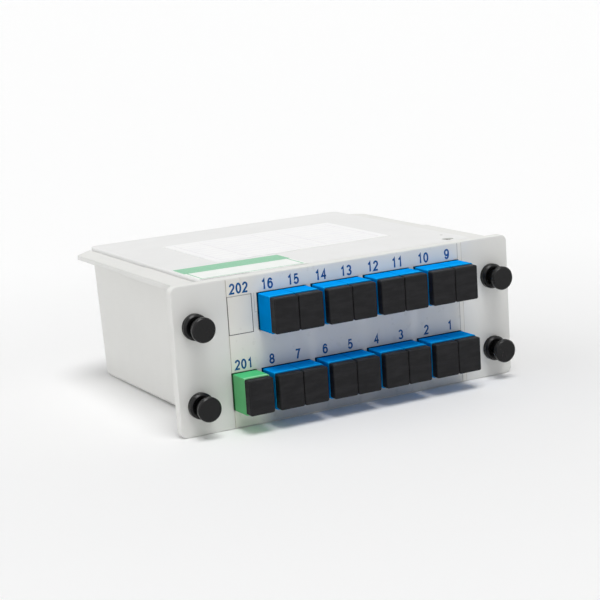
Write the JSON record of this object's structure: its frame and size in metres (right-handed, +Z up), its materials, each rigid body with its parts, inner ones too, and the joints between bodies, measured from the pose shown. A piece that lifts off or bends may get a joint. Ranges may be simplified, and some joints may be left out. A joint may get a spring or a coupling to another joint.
{
  "type": "plc fibre splitter",
  "caption": "Plug-in fibre splitter cassette: a grey moulded box whose front plate holds blue and green adapters under black dust caps, with push-pull latches.",
  "frame": {"origin": "centre of the four-latch pattern on the front plate's rear face", "axes": "+X right along the front plate seen from the front, +Y back into the box, +Z up"},
  "size_m": [0.13, 0.112, 0.0501],
  "materials": {
    "adapter_blue": "satin",
    "adapter_green": "satin",
    "cap_black": "matte",
    "cover_plastic": "satin moulded ABS",
    "face_print": "printed polyester film",
    "fibre_white": "satin jacket",
    "holder_white": "moulded",
    "latch_black": "satin nylon",
    "module_steel": "brushed",
    "plug_blue": "satin",
    "plug_green": "satin",
    "screw_steel": "plated",
    "seal_paper": "paper sticker",
    "sleeve_ceramic": "polished zirconia",
    "table_paper": "paper sticker",
    "tray_plastic": "satin moulded ABS"
  },
  "bodies": {
    "cassette": {"alignment_sleeves": "sleeve_ceramic", "cover_screws": "screw_steel", "face_label": "face_print", "fibre_harness": "fibre_white", "housing_tray": "tray_plastic", "inner_plugs_11_12": "plug_blue", "inner_plugs_13_14": "plug_blue", "inner_plugs_15_16": "plug_blue", "inner_plugs_1_2": "plug_blue", "inner_plugs_3_4": "plug_blue", "inner_plugs_5_6": "plug_blue", "inner_plugs_7_8": "plug_blue", "inner_plugs_9_10": "plug_blue", "input_adapter": "adapter_green", "input_plug": "plug_green", "latch_grommet_left_lower": "latch_black", "latch_grommet_left_upper": "latch_black", "latch_grommet_right_lower": "latch_black", "latch_grommet_right_upper": "latch_black", "output_adapter_11_12": "adapter_blue", "output_adapter_13_14": "adapter_blue", "output_adapter_15_16": "adapter_blue", "output_adapter_1_2": "adapter_blue", "output_adapter_3_4": "adapter_blue", "output_adapter_5_6": "adapter_blue", "output_adapter_7_8": "adapter_blue", "output_adapter_9_10": "adapter_blue", "seal_label": "seal_paper", "sleeve_holders": "holder_white", "splitter_module": "module_steel", "table_label": "table_paper", "top_cover": "cover_plastic"},
    "dust_cap_1": {"dust_cap_1": "cap_black"},
    "dust_cap_2": {"dust_cap_2": "cap_black"},
    "dust_cap_3": {"dust_cap_3": "cap_black"},
    "dust_cap_4": {"dust_cap_4": "cap_black"},
    "dust_cap_5": {"dust_cap_5": "cap_black"},
    "dust_cap_6": {"dust_cap_6": "cap_black"},
    "dust_cap_7": {"dust_cap_7": "cap_black"},
    "dust_cap_8": {"dust_cap_8": "cap_black"},
    "dust_cap_9": {"dust_cap_9": "cap_black"},
    "dust_cap_10": {"dust_cap_10": "cap_black"},
    "dust_cap_11": {"dust_cap_11": "cap_black"},
    "dust_cap_12": {"dust_cap_12": "cap_black"},
    "dust_cap_13": {"dust_cap_13": "cap_black"},
    "dust_cap_14": {"dust_cap_14": "cap_black"},
    "dust_cap_15": {"dust_cap_15": "cap_black"},
    "dust_cap_16": {"dust_cap_16": "cap_black"},
    "input_dust_cap": {"input_dust_cap": "cap_black"},
    "latch_plunger_left_lower": {"latch_plunger_left_lower": "latch_black"},
    "latch_plunger_left_upper": {"latch_plunger_left_upper": "latch_black"},
    "latch_plunger_right_lower": {"latch_plunger_right_lower": "latch_black"},
    "latch_plunger_right_upper": {"latch_plunger_right_upper": "latch_black"}
  },
  "joints": [
    {"name": "dust_cap_1_pull", "type": "slide", "parent": "cassette", "child": "dust_cap_1", "axis": [0, -1, 0], "range_m": [0, 0.016]},
    {"name": "dust_cap_2_pull", "type": "slide", "parent": "cassette", "child": "dust_cap_2", "axis": [0, -1, 0], "range_m": [0, 0.016]},
    {"name": "dust_cap_3_pull", "type": "slide", "parent": "cassette", "child": "dust_cap_3", "axis": [0, -1, 0], "range_m": [0, 0.016]},
    {"name": "dust_cap_4_pull", "type": "slide", "parent": "cassette", "child": "dust_cap_4", "axis": [0, -1, 0], "range_m": [0, 0.016]},
    {"name": "dust_cap_5_pull", "type": "slide", "parent": "cassette", "child": "dust_cap_5", "axis": [0, -1, 0], "range_m": [0, 0.016]},
    {"name": "dust_cap_6_pull", "type": "slide", "parent": "cassette", "child": "dust_cap_6", "axis": [0, -1, 0], "range_m": [0, 0.016]},
    {"name": "dust_cap_7_pull", "type": "slide", "parent": "cassette", "child": "dust_cap_7", "axis": [0, -1, 0], "range_m": [0, 0.016]},
    {"name": "dust_cap_8_pull", "type": "slide", "parent": "cassette", "child": "dust_cap_8", "axis": [0, -1, 0], "range_m": [0, 0.016]},
    {"name": "dust_cap_9_pull", "type": "slide", "parent": "cassette", "child": "dust_cap_9", "axis": [0, -1, 0], "range_m": [0, 0.016]},
    {"name": "dust_cap_10_pull", "type": "slide", "parent": "cassette", "child": "dust_cap_10", "axis": [0, -1, 0], "range_m": [0, 0.016]},
    {"name": "dust_cap_11_pull", "type": "slide", "parent": "cassette", "child": "dust_cap_11", "axis": [0, -1, 0], "range_m": [0, 0.016]},
    {"name": "dust_cap_12_pull", "type": "slide", "parent": "cassette", "child": "dust_cap_12", "axis": [0, -1, 0], "range_m": [0, 0.016]},
    {"name": "dust_cap_13_pull", "type": "slide", "parent": "cassette", "child": "dust_cap_13", "axis": [0, -1, 0], "range_m": [0, 0.016]},
    {"name": "dust_cap_14_pull", "type": "slide", "parent": "cassette", "child": "dust_cap_14", "axis": [0, -1, 0], "range_m": [0, 0.016]},
    {"name": "dust_cap_15_pull", "type": "slide", "parent": "cassette", "child": "dust_cap_15", "axis": [0, -1, 0], "range_m": [0, 0.016]},
    {"name": "dust_cap_16_pull", "type": "slide", "parent": "cassette", "child": "dust_cap_16", "axis": [0, -1, 0], "range_m": [0, 0.016]},
    {"name": "input_dust_cap_pull", "type": "slide", "parent": "cassette", "child": "input_dust_cap", "axis": [0, -1, 0], "range_m": [0, 0.016]},
    {"name": "latch_left_lower_push", "type": "slide", "parent": "cassette", "child": "latch_plunger_left_lower", "axis": [0, 1, 0], "range_m": [0, 0.0039]},
    {"name": "latch_left_upper_push", "type": "slide", "parent": "cassette", "child": "latch_plunger_left_upper", "axis": [0, 1, 0], "range_m": [0, 0.0039]},
    {"name": "latch_right_lower_push", "type": "slide", "parent": "cassette", "child": "latch_plunger_right_lower", "axis": [0, 1, 0], "range_m": [0, 0.0039]},
    {"name": "latch_right_upper_push", "type": "slide", "parent": "cassette", "child": "latch_plunger_right_upper", "axis": [0, 1, 0], "range_m": [0, 0.0039]}
  ]
}
